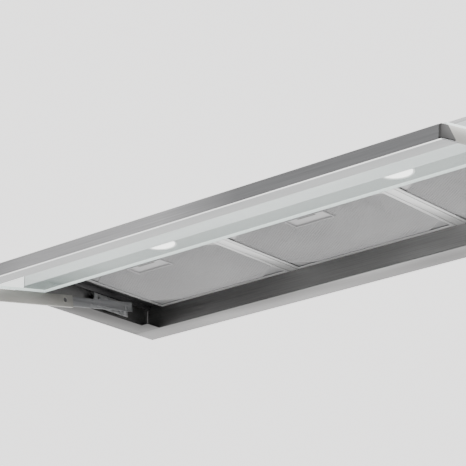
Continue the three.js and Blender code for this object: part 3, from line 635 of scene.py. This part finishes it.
def settled(node, x, y):
    shape = copyOf(node)
    tree = BVHTree.FromBMesh(shape)
    point, normal, _, _ = tree.ray_cast(Vector((x, y, fixings["dropHeight"])), Vector((0, 0, -1)))
    shape.free()
    return point, normal


def makeFasteners(name, body, profile, direction, points, slot="rail_steel"):
    shape = bmesh.new()
    for point in points:
        addTo(shape, spunShape(profile, facing(direction, point), fixings["steps"]))
    keepPiece(name, shape, body, slot)


def makeFixings():
    front, rear = fixings["frontScrew"], fixings["rearScrew"]
    for side, sign in zip(sides, (-1, 1)):
        inward = (-sign, 0, 0)
        railLow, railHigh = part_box(f"inner_rail_{side}")
        face = railLow.x if sign > 0 else railHigh.x
        rivets = [railPoint(face, *place) for place in fixings["rivets"]]
        makeFasteners(f"rail_rivets_{side}", "rails", rivetProfile, inward, rivets)
        channelLow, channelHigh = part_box(f"outer_channel_{side}")
        inner = channelLow.x if sign > 0 else channelHigh.x
        pin = [railPoint(inner, *fixings["pin"])]
        makeFasteners(f"stop_pin_ring_{side}", "visor", eyeletProfile, inward, pin, "rail_aluminium")
        # A thin black disc inside the eyelet ring: painted shade standing for the pin hole
        makeFasteners(f"stop_pin_{side}", "visor", pinHoleShadeProfile, inward, pin, "black_plastic")
        bracketLow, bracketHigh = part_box(f"rail_bracket_{side}")
        bracketX = bracketLow.x if sign > 0 else bracketHigh.x
        screws = [(bracketX, bracketLow.y + front[0], bracketHigh.z - front[1]),
                  (bracketX, bracketHigh.y - rear[0], bracketHigh.z - rear[1])]
        makeFasteners(f"bracket_screws_{side}", "housing", screwProfile, inward, screws)


def evenly(first, last, count):
    return [first + (last - first) * index / (count - 1) for index in range(count)]


# Casing in millimetres: size, place and count of the ribs, then how far in the screws and seam rivets are
casing = {"rib": 9, "ribFoot": 14, "ribTop": 70, "ribRise": 0.9, "ribRounding": 0.4, "ribs": 9, "ribEdge": 60,
          "screwInset": 7, "seamFoot": 8, "seamRivets": 5, "seamInset": 22}


def barShape(low, high, rounding):
    shape = bmesh.new()
    middle = Matrix.Translation((low + high) / 2)
    bmesh.ops.create_cube(shape, size=1, matrix=middle @ Matrix.Diagonal((*(high - low), 1)))
    roundEdges(shape, rounding)
    return shape


def makeCasing():
    low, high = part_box("body_shell")
    ribs = bmesh.new()
    margin = casing["ribEdge"] * millimetre
    half = casing["rib"] / 2 * millimetre
    back = high.y + casing["ribRise"] * millimetre
    for x in evenly(low.x + margin, high.x - margin, casing["ribs"]):
        foot = Vector((x - half, high.y, low.z + casing["ribFoot"] * millimetre))
        top = Vector((x + half, back, low.z + casing["ribTop"] * millimetre))
        addTo(ribs, barShape(foot, top, casing["ribRounding"]))
    keepPiece("back_ribs", ribs, "housing", "galvanised")
    for side, sign in zip(sides, (-1, 1)):
        plateLow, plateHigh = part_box(f"side_plate_{side}")
        outer = plateHigh.x if sign > 0 else plateLow.x
        inset = casing["seamInset"] * millimetre
        points = [(outer, y, plateLow.z + casing["seamFoot"] * millimetre)
                  for y in evenly(plateLow.y + inset, plateHigh.y - inset, casing["seamRivets"])]
        makeFasteners(f"seam_rivets_{side}", "housing", domeProfile, (sign, 0, 0), points, "galvanised")
    inset = casing["screwInset"] * millimetre
    for node in ("blower_box", "terminal_box"):
        boxLow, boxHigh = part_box(node)
        shape = bmesh.new()
        for x in (boxLow.x + inset, boxHigh.x - inset):
            for y in ((boxLow.y + boxHigh.y) / 2, boxHigh.y - inset):
                point, normal = settled(node, x, y)
                addTo(shape, spunShape(screwProfile, facing(normal, point), fixings["steps"]))
        keepPiece(f"{node}_screws", shape, "housing", "rail_steel")


def makeAll():
    makeRoundedPieces()
    makeFascia()
    makePane()
    for place in places:
        makeFilterMesh(place)
    for side in sides:
        makeLamp(side)
    makeFixings()
    makeCasing()


makeAll()
print("pieces ready")

# Room in metres. Each light has a place, the point it faces, its width and height, and its power in watts.
room = {"floorDrop": 2.2, "floorSize": 14, "floorTone": tone(0.8, 0.8, 0.79),
        "patchTone": tone(0.76, 0.755, 0.75), "patchSize": 2, "patchDetail": 2, "floorRoughness": 0.9,
        "airTone": tone(0.8, 0.79, 0.785), "airStrength": 2.9}
lights = {
    "low_light": ((0, -0.1, -1.1), (0, -0.1, 0), (3, 3), 25),
    "side_light": ((1.8, -1.6, 0.4), (0, -0.15, 0), (1.2, 1.0), 12),
    "top_light": ((1.3, 1.4, 1.7), (0, 0, 0.05), (0.9, 0.9), 75),
}


def makeRoom():
    shape = bmesh.new()
    bmesh.ops.create_grid(shape, x_segments=1, y_segments=1, size=room["floorSize"] / 2,
                          matrix=Matrix.Translation((0, 0, cadBox[0].z - room["floorDrop"])))
    mesh = bpy.data.meshes.new("floor")
    shape.to_mesh(mesh)
    shape.free()
    floor = bpy.data.objects.new("floor", mesh)
    bpy.context.scene.collection.objects.link(floor)
    board = Board("floor")
    patches = board.noise(room["patchSize"], room["patchDetail"])
    colour = board.mix(patches, room["patchTone"], room["floorTone"])
    dress(floor, board.finish({"Base Color": colour, "Roughness": room["floorRoughness"]}))
    world = bpy.data.worlds.new("air")
    bpy.context.scene.world = world
    world.use_nodes = True
    background = world.node_tree.nodes["Background"]
    background.inputs["Color"].default_value = room["airTone"]
    background.inputs["Strength"].default_value = room["airStrength"]


def softBox(name, place, aim, size, power):
    lamp = bpy.data.lights.new(name, "AREA")
    lamp.shape = "RECTANGLE"
    lamp.size, lamp.size_y = size
    lamp.energy = power
    piece = bpy.data.objects.new(name, lamp)
    piece.visible_camera = False
    turn = (Vector(aim) - Vector(place)).to_track_quat("-Z", "Y")
    piece.matrix_world = Matrix.LocRotScale(Vector(place), turn, None)
    bpy.context.scene.collection.objects.link(piece)


makeRoom()
for light, setting in lights.items():
    softBox(light, *setting)
print("room ready")
